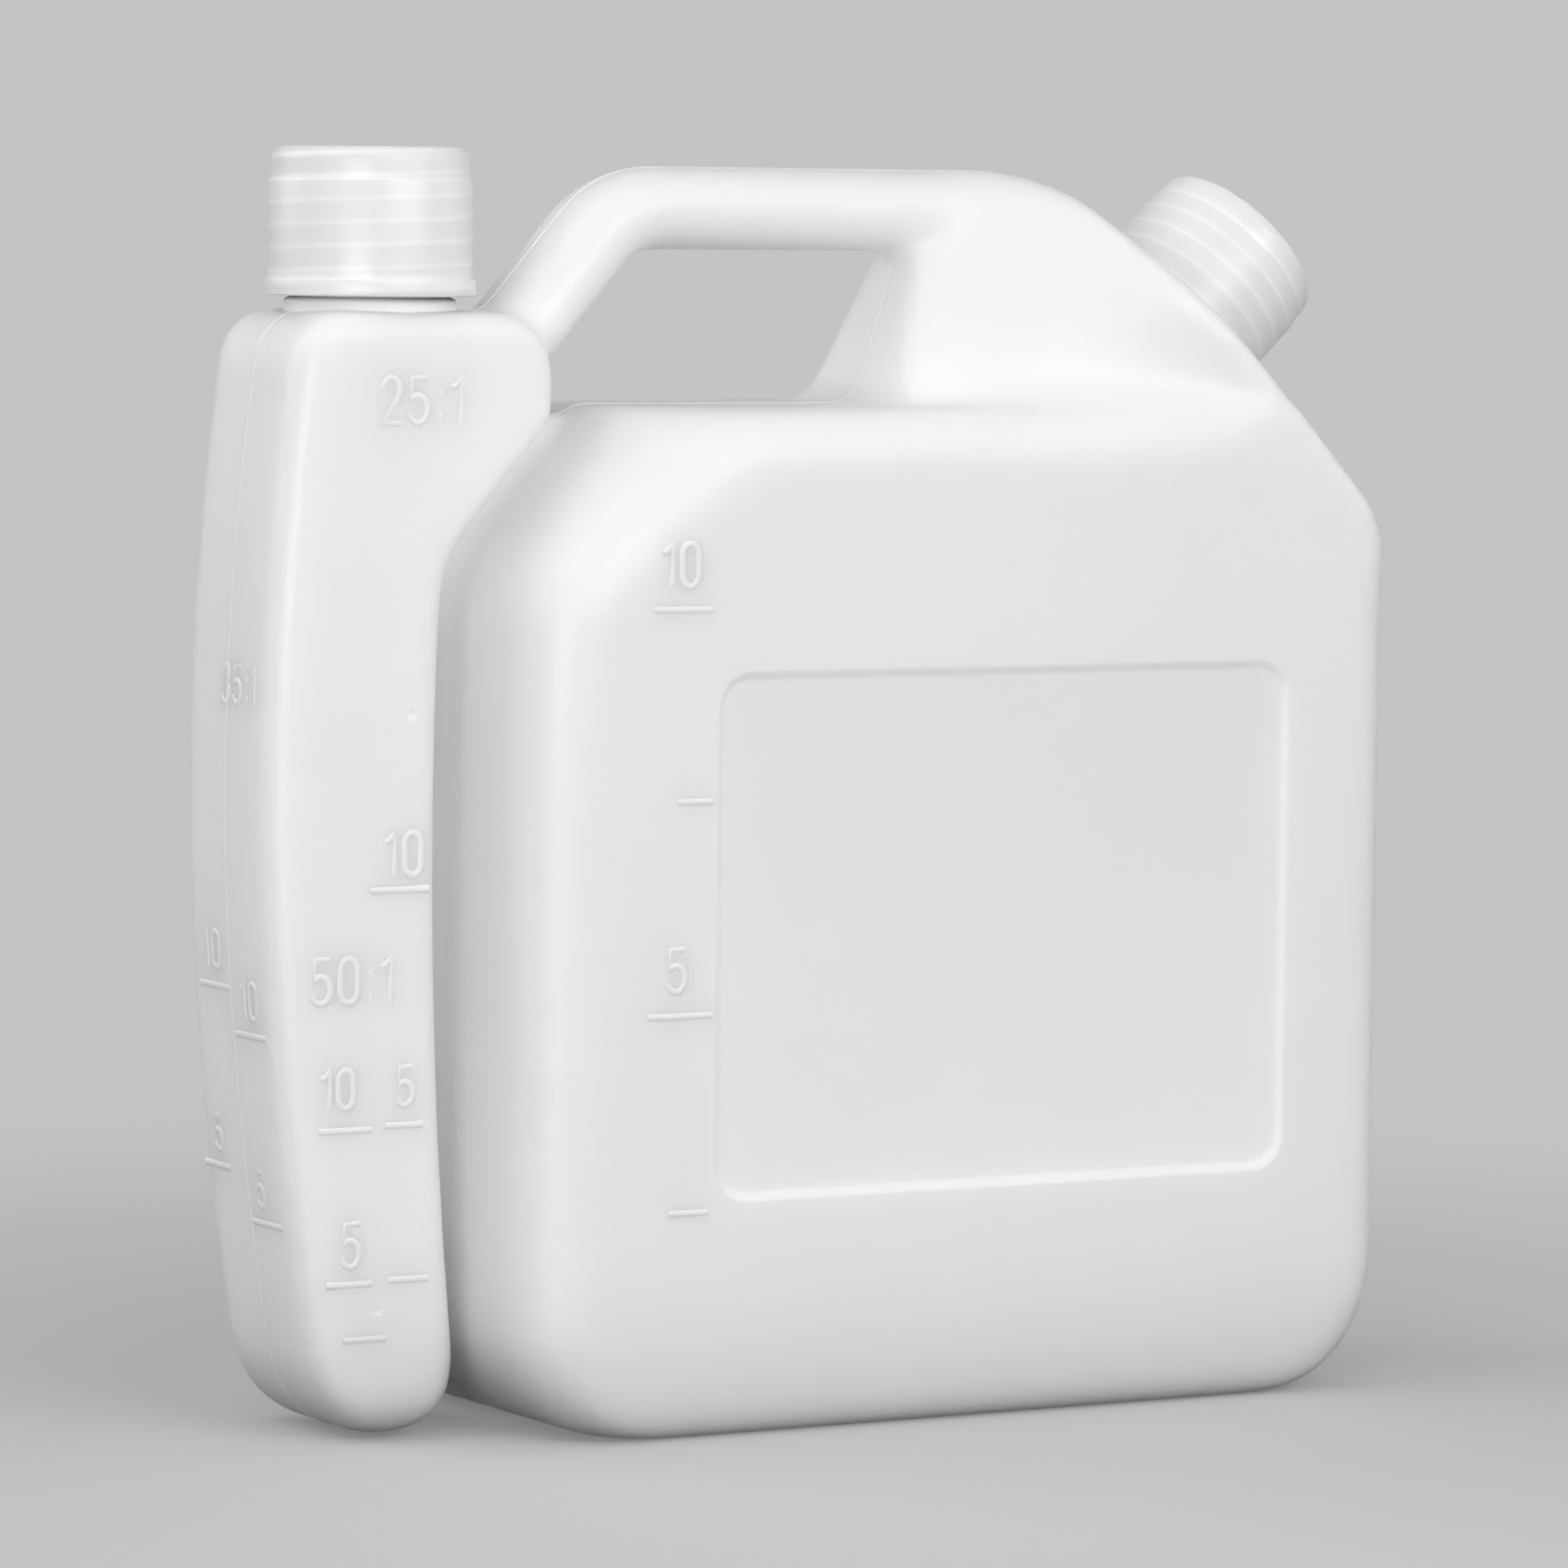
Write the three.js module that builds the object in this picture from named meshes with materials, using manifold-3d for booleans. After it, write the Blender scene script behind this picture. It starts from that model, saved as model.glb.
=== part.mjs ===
// Fuel mixing bottle with two chambers: a wide petrol chamber and a slim oil chamber side by side,
// blown in one piece with a carrying handle, and closed by two screw caps.
// Millimetres, +Z up. X runs along the width, the front faces -Y, and the origin is the centre of the
// base on the surface that the bottle stands on. The mould parting plane is Y = 0.
import * as THREE from 'three';
import Module from 'manifold-3d';
import { mergeVertices } from 'three/addons/utils/BufferGeometryUtils.js';
import { ParametricGeometry } from 'three/addons/geometries/ParametricGeometry.js';

// Driving dimensions of the petrol chamber
const LEFT_END = -55.6;
const RIGHT_END = 89.95;
const HALF_DEPTH = 31.5;
const LEFT_CORNER_RADIUS = 9;
const LEFT_TOP_CORNER_RADIUS = 18;
const RIGHT_CORNER_RADIUS = 7;
const BASE_EDGE_RADIUS = 3.5;
const BASE_LEFT_RADIUS = 17;
const BASE_RIGHT_RADIUS = 19.5;
const BASE_LIFT = 1.4;
const FOOT_WIDTH = 7;
const LEDGE_HEIGHT = 148;
const LEDGE_RADIUS = 8;
const TOP_HEIGHT = 182.5;
const WALL = 1.3;

// The slanted shoulder face that carries the petrol neck, through the foot of the neck
const SHOULDER_FACE = { x: 64.6, z: 157.3, tilt: THREE.MathUtils.degToRad(47.3) };
const SHOULDER_FOOT_RADIUS = 20;
const SHOULDER_TOP_RADIUS = 14;
const SHOULDER_EDGE_RADIUS = 4;
const SHOULDER_FRONT = { start: 163, slope: 1.05, softness: 6, crown: 6 };
const SHOULDER_EDGE_STARTS = { from: 118, to: 134 };
// The left corners grow rounder from this height up to the ledge below the hand gap
const LEFT_ROUNDING_STARTS = 118;
// Round tops end this far short of a full quarter turn, so that the top keeps a flat strip
const CROWN_REST = 0.4;

// The hand gap, whose right wall is the left side of the shoulder
const GAP_WALL_FOOT = 13.3;
const GAP_WALL_SLOPE = 0.29;
const GAP_WALL_HALF_DEPTH = 18;
const GAP_WALL_NARROWING = 0.42;
const GAP_WALL_FILLET = 3;
const GAP_WALL_CROWN = 8.5;

// The carrying handle is one flattened tube of constant section
const HANDLE_UNDERSIDE = 170.6;
const HANDLE_HALF_DEPTH = 8.8;
const HANDLE_ROUNDNESS = 0.98;
const HANDLE_BEND_RADIUS = 13;
const HANDLE_RIGHT_END = 32;
const LEG_ANGLE = THREE.MathUtils.degToRad(48.5);
const LEG_OFFSET = -138.15;
const LEG_FOOT_HEIGHT = 131;
const LEG_WALL_HEIGHT = 164;

// The oil chamber, which bows outwards
const OIL_LEFT = -90;
const OIL_RIGHT = -62.7;
const OIL_BOW = { below: 9.8, belowPower: 1.8, above: 5.4, abovePower: 2 };
const OIL_LEAN = { below: 5.2, belowPower: 2.2, above: 1 };
const OIL_HALF_DEPTH = 15.2;
const OIL_CORNER_RADIUS = 4;
const OIL_BASE = 0.8;
const OIL_BASE_RADIUS = 12.5;
const OIL_BASE_DRAWN_IN = 9.3;
const OIL_BASE_EDGE_RADIUS = 6;
const OIL_TOP = 161.6;
const OIL_TOP_LEFT_RADIUS = 6.5;
const OIL_TOP_RIGHT_RADIUS = 9;
const OIL_TOP_EDGE_RADIUS = 3;
const OIL_TOP_RIGHT = -44.3;
const OIL_LEG_EDGE_OFFSET = -129.95;
const OIL_WAIST_HEIGHT = 93;

// How softly each chamber's upright side turns to follow the leg, and how far that moves the side
const PETROL_TURN = { softness: 5, back: 0.3 };
const OIL_TURN = { softness: 3, back: 0.2 };

// The web pinched between the two chambers at the parting plane
const WEB_THICKNESS = 2.6;
const WEB_FOOT = 6;
const WEB_GAP = 6;
const WEB_OVERLAP = 3;
const WEB_TURN_HEIGHT = 123;
const WEB_TOP_DROP = 1.5;

// The recessed panel on the front
const PANEL = { left: -27.2, right: 70.8, bottom: 34.1, top: 110.6, radius: 4.3, depth: 0.8, slope: 1.3 };
const PANEL_CUT = 4;

// Both necks are alike. The petrol neck stands on the slanted face, a little sunk into it.
const NECK_LENGTH = 20;
const NECK_RADIUS = 11.3;
const NECK_BORE_RADIUS = 9.7;
const NECK_COLLAR_RADIUS = 12.4;
const NECK_COLLAR_HEIGHT = 1.7;
const NECK_CHAMFER = 0.5;
const NECK_ROOT = 4;
const BORE_ROOT = 6;
const BORE_OVERRUN = 2;
const OIL_NECK_X = -67.5;
const PETROL_NECK_SINK = 0.8;

// Both screw caps are alike
const CAP_LIFT = 2;
const CAP_HEIGHT = 21.3;
const CAP_RADIUS = 14.65;
const CAP_CROWN_RADIUS = 14.25;
const CAP_CROWN_HEIGHT = 4.8;
const CAP_FLANGE_RADIUS = 15.2;
const CAP_FLANGE_HEIGHT = 2.4;
const CAP_EDGE_RADIUS = 2;
const CAP_EDGE_FACETS = 4;
const CAP_STEP = 0.3;
const CAP_BORE_RADIUS = 12.9;
const CAP_TOP_THICKNESS = 1.5;
const LINER_RADIUS = 12.5;
const LINER_THICKNESS = 1.2;
const FIT_GAP = 0.3;

// Facets, and the heights of the rings that the chambers are skinned over
const CORNER_FACETS = 5;
// Triangles thinner than this, left where two surfaces nearly meet, are merged into their neighbours
const SLIVER = 0.02;
const SPAN_FACETS = 6;
const BEND_FACETS = 6;
const ROUND_FACETS = 40;
const PETROL_BASE_RINGS = [0, 0.4, 1.4, BASE_EDGE_RADIUS, 6, 9, BASE_LEFT_RADIUS, BASE_RIGHT_RADIUS];
const PETROL_SIDE_RINGS = [60, 112, 118, 121, 124, 127, 130, 133, 137, 140, 143, 145.5, 147, LEDGE_HEIGHT];
const SHOULDER_RINGS = [0, 0.8, 2.5, 6, 10, 14, 18, 22, 25.5, 28.5, 31, 33.3, TOP_HEIGHT - LEDGE_HEIGHT];
const OIL_BASE_RINGS = [0, 0.4, 1.2, 2.5, 4.5, 8, OIL_BASE_RADIUS];
const OIL_SIDE_RINGS = [20, 35, 55, 75, OIL_WAIST_HEIGHT, 108, 116, 121, 125, 129, 134, 140, 146];
const OIL_TOP_RINGS = [10, 7, 4.5, 2.5, 1, 0.3, 0];
// A corner is no rounder than this share of what its ring has room for
const ROUNDEST = 0.9;
// How much smaller an inner corner's radius is, as a share of the wall
const CORNER_INSET = 0.7;

const wasm = await Module();
wasm.setup();

// A closed three.js geometry as a solid, without the triangles that merging its points has flattened
function solid(geometry) {
  const bare = geometry.clone();
  bare.deleteAttribute('normal');
  bare.deleteAttribute('uv');
  const merged = mergeVertices(bare, 1e-4);
  const index = merged.index.array;
  const corners = [];
  for (let i = 0; i < index.length; i += 3) {
    const [a, b, c] = [index[i], index[i + 1], index[i + 2]];
    if (a !== b && b !== c && c !== a) corners.push(a, b, c);
  }
  return new wasm.Manifold(new wasm.Mesh({
    numProp: 3,
    vertProperties: new Float32Array(merged.attributes.position.array),
    triVerts: new Uint32Array(corners),
  }));
}

// A solid as a three.js geometry
function geometryOf(body) {
  const mesh = body.getMesh();
  const geometry = new THREE.BufferGeometry();
  geometry.setAttribute('position', new THREE.BufferAttribute(new Float32Array(mesh.vertProperties), 3));
  geometry.setIndex(new THREE.BufferAttribute(new Uint32Array(mesh.triVerts), 1));
  return geometry;
}

// A skin over rings of equally many points, closed at both ends on the middle of the end rings
function loft(rings) {
  const middle = (ring) => ring.reduce((sum, p) => sum.add(p), new THREE.Vector3()).divideScalar(ring.length);
  const count = rings[0].length;
  const ends = [rings[0], rings[rings.length - 1]].map((ring) => new Array(count).fill(middle(ring)));
  const all = [ends[0], ...rings, ends[1]];
  const skin = (u, v, target) => {
    const ring = all[Math.round(v * (all.length - 1))];
    target.copy(ring[Math.round(u * count) % count]);
  };
  return new ParametricGeometry(skin, count, all.length - 1);
}

// Four corners as quarter arcs, anticlockwise from the front left, with even steps between them:
// each corner has its centre and radius
function roundedOutline(corners, spanFacets) {
  const points = [];
  corners.forEach(({ x, y, radius }, corner) => {
    const next = corners[(corner + 1) % corners.length];
    for (let i = 0; i <= CORNER_FACETS; i += 1) {
      const angle = Math.PI + (corner + i / CORNER_FACETS) * (Math.PI / 2);
      points.push(new THREE.Vector2(x + radius * Math.cos(angle), y + radius * Math.sin(angle)));
    }
    const angle = Math.PI + (corner + 1) * (Math.PI / 2);
    const from = points[points.length - 1];
    const arm = new THREE.Vector2(Math.cos(angle), Math.sin(angle)).multiplyScalar(next.radius);
    const to = new THREE.Vector2(next.x, next.y).add(arm);
    const steps = corner % 2 === 0 ? spanFacets : 1;
    for (let i = 1; i < steps; i += 1) points.push(from.clone().lerp(to, i / steps));
  });
  return points;
}

// A level ring with round corners, whose half depth may differ between its left and right ends
function levelRing({ z, left, right, leftDepth, rightDepth, leftRadius, rightRadius }, spanFacets) {
  const widest = ((right - left) / 2) * ROUNDEST;
  const l = Math.min(leftRadius, widest, leftDepth * ROUNDEST);
  const r = Math.min(rightRadius, widest, rightDepth * ROUNDEST);
  const corners = [
    { x: left + l, y: -leftDepth + l, radius: l },
    { x: right - r, y: -rightDepth + r, radius: r },
    { x: right - r, y: rightDepth - r, radius: r },
    { x: left + l, y: leftDepth - l, radius: l },
  ];
  return roundedOutline(corners, spanFacets).map((p) => new THREE.Vector3(p.x, p.y, z));
}

// How far a round edge of the given radius has drawn in, at a height above the start of the edge
function drawnIn(radius, height) {
  const rise = Math.min(Math.max(height, 0), radius);
  return radius - Math.sqrt(radius * radius - rise * rise);
}

// The larger of two values, with a soft change from one to the other
function softMax(a, b, softness) {
  return (a + b + Math.sqrt((a - b) ** 2 + softness ** 2)) / 2;
}

// The right side of the petrol chamber: upright, round into the slanted face, and round into the top
function petrolRight(z) {
  const { x, z: faceZ, tilt } = SHOULDER_FACE;
  const slant = x - (z - faceZ) / Math.tan(tilt);
  const footStart = faceZ - (RIGHT_END - x) * Math.tan(tilt)
    - SHOULDER_FOOT_RADIUS * Math.tan((Math.PI / 2 - tilt) / 2);
  const footEnd = footStart + SHOULDER_FOOT_RADIUS * Math.cos(tilt);
  const arcStart = TOP_HEIGHT - SHOULDER_TOP_RADIUS * (1 - Math.cos(tilt));
  if (z < footEnd) return RIGHT_END - drawnIn(SHOULDER_FOOT_RADIUS, z - footStart);
  if (z < arcStart) return slant;
  const topCorner = x - (TOP_HEIGHT - faceZ) / Math.tan(tilt);
  const arcCentre = topCorner - SHOULDER_TOP_RADIUS * Math.tan(tilt / 2);
  return arcCentre + SHOULDER_TOP_RADIUS - drawnIn(SHOULDER_TOP_RADIUS, z - TOP_HEIGHT + SHOULDER_TOP_RADIUS);
}

// The share of its half depth that a round top keeps at a height, with a strip left flat at the very top
function crownShare(z, height) {
  const climb = Math.max(0, z - TOP_HEIGHT + height) / (height + CROWN_REST);
  return Math.sqrt(1 - climb * climb);
}

// The front of the shoulder leans back above its start and is round at the top
function petrolRightDepth(z) {
  const { start, slope, softness, crown } = SHOULDER_FRONT;
  const leaning = HALF_DEPTH - slope * (z - start);
  return -softMax(-HALF_DEPTH, -leaning, softness) * crownShare(z, crown);
}

function petrolLeftRadius(z) {
  const share = THREE.MathUtils.smoothstep(z, LEFT_ROUNDING_STARTS, LEDGE_HEIGHT);
  return THREE.MathUtils.lerp(LEFT_CORNER_RADIUS, LEFT_TOP_CORNER_RADIUS, share);
}

function petrolRightRadius(z) {
  const share = THREE.MathUtils.smoothstep(z, SHOULDER_EDGE_STARTS.from, SHOULDER_EDGE_STARTS.to);
  return THREE.MathUtils.lerp(RIGHT_CORNER_RADIUS, SHOULDER_EDGE_RADIUS, share);
}

// The leg's edges are parallel lines in the parting plane, and an offset says which one is meant
const LEG_ACROSS = new THREE.Vector2(Math.sin(LEG_ANGLE), -Math.cos(LEG_ANGLE));
const legX = (z, offset) => (offset - LEG_ACROSS.y * z) / LEG_ACROSS.x;

// The upper left of the petrol chamber follows the leg and leaves the web's gap to it
function petrolLeft(z) {
  const followsLeg = legX(z, OIL_LEG_EDGE_OFFSET + WEB_GAP);
  return softMax(LEFT_END, followsLeg, PETROL_TURN.softness) - PETROL_TURN.back;
}

function petrolStations() {
  const base = (z) => ({
    z,
    left: petrolLeft(z) + drawnIn(BASE_LEFT_RADIUS, BASE_LEFT_RADIUS - z),
    right: RIGHT_END - drawnIn(BASE_RIGHT_RADIUS, BASE_RIGHT_RADIUS - z),
    leftDepth: HALF_DEPTH - drawnIn(BASE_EDGE_RADIUS, BASE_EDGE_RADIUS - z),
    rightDepth: HALF_DEPTH - drawnIn(BASE_EDGE_RADIUS, BASE_EDGE_RADIUS - z),
    leftRadius: LEFT_CORNER_RADIUS,
    rightRadius: RIGHT_CORNER_RADIUS,
  });
  const underside = (drawn, z) => ({
    ...base(0),
    z,
    left: base(0).left + drawn,
    right: base(0).right - drawn,
    leftDepth: base(0).leftDepth - drawn,
    rightDepth: base(0).rightDepth - drawn,
  });
  const side = (z) => ({
    z,
    left: petrolLeft(z),
    right: petrolRight(z),
    leftDepth: HALF_DEPTH - drawnIn(LEDGE_RADIUS, z - LEDGE_HEIGHT + LEDGE_RADIUS),
    rightDepth: HALF_DEPTH,
    leftRadius: petrolLeftRadius(z),
    rightRadius: petrolRightRadius(z),
  });
  return [
    underside(FOOT_WIDTH + BASE_LIFT, BASE_LIFT),
    underside(FOOT_WIDTH, 0),
    ...PETROL_BASE_RINGS.map(base),
    ...PETROL_SIDE_RINGS.map(side),
  ];
}

// Above the ledge the left end of the rings is the right wall of the hand gap
function shoulderStations() {
  return SHOULDER_RINGS.map((rise) => {
    const z = LEDGE_HEIGHT + rise;
    const fillet = GAP_WALL_FILLET * Math.max(0, 1 - rise / GAP_WALL_FILLET) ** 2;
    const wallDepth = Math.max(HANDLE_HALF_DEPTH, GAP_WALL_HALF_DEPTH - rise * GAP_WALL_NARROWING);
    const leftDepth = wallDepth * crownShare(z, GAP_WALL_CROWN);
    return {
      z,
      left: GAP_WALL_FOOT + rise * GAP_WALL_SLOPE - fillet,
      right: petrolRight(z),
      leftDepth,
      rightDepth: petrolRightDepth(z),
      leftRadius: SHOULDER_EDGE_RADIUS,
      rightRadius: petrolRightRadius(z),
    };
  });
}

// The same station a wall's thickness further in, where parts above a height move down and the rest up
function inset(station, middleHeight) {
  return {
    z: station.z + (station.z > middleHeight ? -WALL : WALL),
    left: station.left + WALL,
    right: station.right - WALL,
    leftDepth: station.leftDepth - WALL,
    rightDepth: station.rightDepth - WALL,
    leftRadius: station.leftRadius - WALL * CORNER_INSET,
    rightRadius: station.rightRadius - WALL * CORNER_INSET,
  };
}

const petrolOuterStations = [...petrolStations(), ...shoulderStations()];
const petrolInnerStations = petrolOuterStations.map((station) => inset(station, LEDGE_HEIGHT / 2));
const petrolOuter = solid(loft(petrolOuterStations.map((station) => levelRing(station, SPAN_FACETS))));
const petrolInner = solid(loft(petrolInnerStations.map((station) => levelRing(station, SPAN_FACETS))));

// The oil chamber's left side is one long bow, and its right side follows the petrol chamber and the leg
function oilStation(z) {
  const below = Math.max(0, OIL_WAIST_HEIGHT - z) / OIL_WAIST_HEIGHT;
  const above = Math.max(0, z - OIL_WAIST_HEIGHT) / (OIL_TOP - OIL_WAIST_HEIGHT);
  const baseShare = drawnIn(OIL_BASE_RADIUS, OIL_BASE + OIL_BASE_RADIUS - z) / OIL_BASE_RADIUS;
  const baseIn = OIL_BASE_DRAWN_IN * baseShare;
  const topLeftIn = drawnIn(OIL_TOP_LEFT_RADIUS, z - OIL_TOP + OIL_TOP_LEFT_RADIUS);
  const topRightIn = drawnIn(OIL_TOP_RIGHT_RADIUS, z - OIL_TOP + OIL_TOP_RIGHT_RADIUS);
  const upright = OIL_RIGHT + OIL_LEAN.below * below ** OIL_LEAN.belowPower + OIL_LEAN.above * above;
  const right = softMax(upright, legX(z, OIL_LEG_EDGE_OFFSET), OIL_TURN.softness) - OIL_TURN.back;
  const depth = OIL_HALF_DEPTH
    - drawnIn(OIL_BASE_EDGE_RADIUS, OIL_BASE + OIL_BASE_EDGE_RADIUS - z)
    - drawnIn(OIL_TOP_EDGE_RADIUS, z - OIL_TOP + OIL_TOP_EDGE_RADIUS);
  const bow = OIL_BOW.below * below ** OIL_BOW.belowPower + OIL_BOW.above * above ** OIL_BOW.abovePower;
  return {
    z,
    left: OIL_LEFT + bow + baseIn + topLeftIn,
    right: Math.min(right, OIL_TOP_RIGHT) - baseIn - topRightIn,
    leftDepth: depth,
    rightDepth: depth,
    leftRadius: OIL_CORNER_RADIUS,
    rightRadius: OIL_CORNER_RADIUS,
  };
}

const oilStations = [
  ...OIL_BASE_RINGS.map((rise) => OIL_BASE + rise),
  ...OIL_SIDE_RINGS,
  ...OIL_TOP_RINGS.map((drop) => OIL_TOP - drop),
].map(oilStation);
const oilInnerStations = oilStations.map((station) => inset(station, OIL_WAIST_HEIGHT));
const oilOuter = solid(loft(oilStations.map((station) => levelRing(station, 1))));
const oilInner = solid(loft(oilInnerStations.map((station) => levelRing(station, 1))));

// The handle is a flattened tube from the oil chamber up the leg and along the top into the shoulder
function handleCentreline() {
  const barZ = (TOP_HEIGHT + HANDLE_UNDERSIDE) / 2;
  const cornerX = legX(barZ, LEG_OFFSET);
  const tangent = HANDLE_BEND_RADIUS * Math.tan(LEG_ANGLE / 2);
  const legPlace = (z) => ({ x: legX(z, LEG_OFFSET), z, turn: LEG_ANGLE });
  const places = [legPlace(LEG_FOOT_HEIGHT), legPlace(LEG_WALL_HEIGHT)];
  for (let i = BEND_FACETS; i >= 0; i -= 1) {
    const turn = (LEG_ANGLE * i) / BEND_FACETS;
    places.push({
      x: cornerX + tangent - HANDLE_BEND_RADIUS * Math.sin(turn),
      z: barZ - HANDLE_BEND_RADIUS * (1 - Math.cos(turn)),
      turn,
    });
  }
  places.push({ x: HANDLE_RIGHT_END, z: barZ, turn: 0 });
  return places;
}

function handleRing({ x, z, turn }, wall) {
  const halfHeight = (TOP_HEIGHT - HANDLE_UNDERSIDE) / 2 - wall;
  const halfDepth = HANDLE_HALF_DEPTH - wall;
  const radius = halfHeight * HANDLE_ROUNDNESS;
  const corner = (sideX, sideY) => ({
    x: sideX * (halfHeight - radius),
    y: sideY * (halfDepth - radius),
    radius,
  });
  const corners = [corner(-1, -1), corner(1, -1), corner(1, 1), corner(-1, 1)];
  return roundedOutline(corners, 1).map((p) => new THREE.Vector3(
    x + p.x * Math.sin(turn),
    p.y,
    z - p.x * Math.cos(turn),
  ));
}

const handleOuter = solid(loft(handleCentreline().map((place) => handleRing(place, 0))));
const handleInner = solid(loft(handleCentreline()
  .filter((place) => place.z >= LEG_WALL_HEIGHT)
  .map((place) => handleRing(place, WALL))));

// The web is one flat strip up the gap between the chambers
function webGeometry() {
  const top = LEDGE_HEIGHT - WEB_TOP_DROP;
  const [left, right] = [OIL_RIGHT - WEB_OVERLAP, LEFT_END + WEB_OVERLAP + OIL_LEAN.below];
  const outline = new THREE.Shape([
    new THREE.Vector2(left, WEB_FOOT),
    new THREE.Vector2(right, WEB_FOOT),
    new THREE.Vector2(right, WEB_TURN_HEIGHT),
    new THREE.Vector2(legX(top, OIL_LEG_EDGE_OFFSET + WEB_GAP) + WEB_OVERLAP, top),
    new THREE.Vector2(legX(top, OIL_LEG_EDGE_OFFSET) - WEB_OVERLAP, top),
    new THREE.Vector2(left, WEB_TURN_HEIGHT),
  ]);
  const strip = new THREE.ExtrudeGeometry(outline, { depth: WEB_THICKNESS, bevelEnabled: false });
  strip.translate(0, 0, -WEB_THICKNESS / 2);
  strip.rotateX(Math.PI / 2);
  return strip;
}

// A turned shape about a neck's axis, from the base of that neck
function turned(profile) {
  const geometry = new THREE.LatheGeometry(profile.map(([r, z]) => new THREE.Vector2(r, z)), ROUND_FACETS);
  geometry.rotateX(Math.PI / 2);
  return geometry;
}

function placeOnOilNeck(geometry) {
  return geometry.translate(OIL_NECK_X, 0, OIL_TOP);
}

function placeOnPetrolNeck(geometry) {
  const { x, z, tilt } = SHOULDER_FACE;
  return geometry.translate(0, 0, -PETROL_NECK_SINK).rotateY(tilt).translate(x, 0, z);
}

const neckGeometry = () => turned([
  [0, -NECK_ROOT],
  [NECK_COLLAR_RADIUS, -NECK_ROOT],
  [NECK_COLLAR_RADIUS, NECK_COLLAR_HEIGHT - NECK_CHAMFER],
  [NECK_COLLAR_RADIUS - NECK_CHAMFER, NECK_COLLAR_HEIGHT],
  [NECK_RADIUS, NECK_COLLAR_HEIGHT],
  [NECK_RADIUS, NECK_LENGTH - NECK_CHAMFER],
  [NECK_RADIUS - NECK_CHAMFER, NECK_LENGTH],
  [0, NECK_LENGTH],
]);

const boreGeometry = () => turned([
  [0, -BORE_ROOT],
  [NECK_BORE_RADIUS, -BORE_ROOT],
  [NECK_BORE_RADIUS, NECK_LENGTH + BORE_OVERRUN],
  [0, NECK_LENGTH + BORE_OVERRUN],
]);

// The panel is a plate with sloped edges sunk into the front wall
function panelGeometry(front) {
  const { left, right, bottom, top, radius, depth, slope } = PANEL;
  const outline = new THREE.Shape();
  const [l, r, b, t] = [left + slope, right - slope, bottom + slope, top - slope];
  outline.absarc(r - radius, t - radius, radius, 0, Math.PI / 2);
  outline.absarc(l + radius, t - radius, radius, Math.PI / 2, Math.PI);
  outline.absarc(l + radius, b + radius, radius, Math.PI, Math.PI * 1.5);
  outline.absarc(r - radius, b + radius, radius, Math.PI * 1.5, Math.PI * 2);
  const plate = new THREE.ExtrudeGeometry(outline, {
    depth: PANEL_CUT, curveSegments: CORNER_FACETS, bevelThickness: depth, bevelSize: slope, bevelSegments: 1,
  });
  plate.rotateX(Math.PI / 2);
  plate.translate(0, front, 0);
  return plate;
}

const panelOuter = solid(panelGeometry(-HALF_DEPTH));
const panelInner = solid(panelGeometry(-HALF_DEPTH + WALL));

const bottle = petrolOuter
  .add(oilOuter)
  .add(handleOuter)
  .add(solid(webGeometry()))
  .add(solid(placeOnOilNeck(neckGeometry())))
  .add(solid(placeOnPetrolNeck(neckGeometry())))
  .subtract(panelOuter)
  .subtract(petrolInner.subtract(panelInner))
  .subtract(handleInner)
  .subtract(oilInner)
  .subtract(solid(placeOnOilNeck(boreGeometry())))
  .subtract(solid(placeOnPetrolNeck(boreGeometry())))
  .simplify(SLIVER);

const capProfile = () => {
  const top = CAP_LIFT + CAP_HEIGHT;
  const inside = top - CAP_TOP_THICKNESS;
  const points = [
    [0, inside],
    [CAP_BORE_RADIUS, inside],
    [CAP_BORE_RADIUS, CAP_LIFT],
    [CAP_FLANGE_RADIUS - CAP_STEP, CAP_LIFT],
    [CAP_FLANGE_RADIUS, CAP_LIFT + CAP_STEP],
    [CAP_FLANGE_RADIUS, CAP_LIFT + CAP_FLANGE_HEIGHT - CAP_STEP],
    [CAP_RADIUS, CAP_LIFT + CAP_FLANGE_HEIGHT],
    [CAP_RADIUS, top - CAP_CROWN_HEIGHT - CAP_STEP],
    [CAP_CROWN_RADIUS, top - CAP_CROWN_HEIGHT],
  ];
  for (let i = 0; i <= CAP_EDGE_FACETS; i += 1) {
    const angle = (Math.PI / 2) * (i / CAP_EDGE_FACETS);
    points.push([
      CAP_CROWN_RADIUS - CAP_EDGE_RADIUS * (1 - Math.cos(angle)),
      top - CAP_EDGE_RADIUS * (1 - Math.sin(angle)),
    ]);
  }
  points.push([0, top]);
  return points;
};

const linerProfile = () => {
  const top = CAP_LIFT + CAP_HEIGHT - CAP_TOP_THICKNESS - FIT_GAP;
  return [[0, top - LINER_THICKNESS], [LINER_RADIUS, top - LINER_THICKNESS], [LINER_RADIUS, top], [0, top]];
};

const finish = (color, roughness) => new THREE.MeshStandardMaterial({ color, roughness, metalness: 0 });

const object = new THREE.Group();
function addPart(name, geometry, material) {
  const mesh = new THREE.Mesh(geometry, material);
  mesh.name = name;
  object.add(mesh);
}

addPart('bottle', geometryOf(bottle), finish(0xeceeed, 0.42));
addPart('oil_cap', placeOnOilNeck(turned(capProfile())), finish(0xe9ecec, 0.35));
addPart('oil_cap_liner', placeOnOilNeck(turned(linerProfile())), finish(0xf4f4f0, 0.7));
addPart('petrol_cap', placeOnPetrolNeck(turned(capProfile())), finish(0xe9ecec, 0.35));
addPart('petrol_cap_liner', placeOnPetrolNeck(turned(linerProfile())), finish(0xf4f4f0, 0.7));

export default object;
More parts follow.
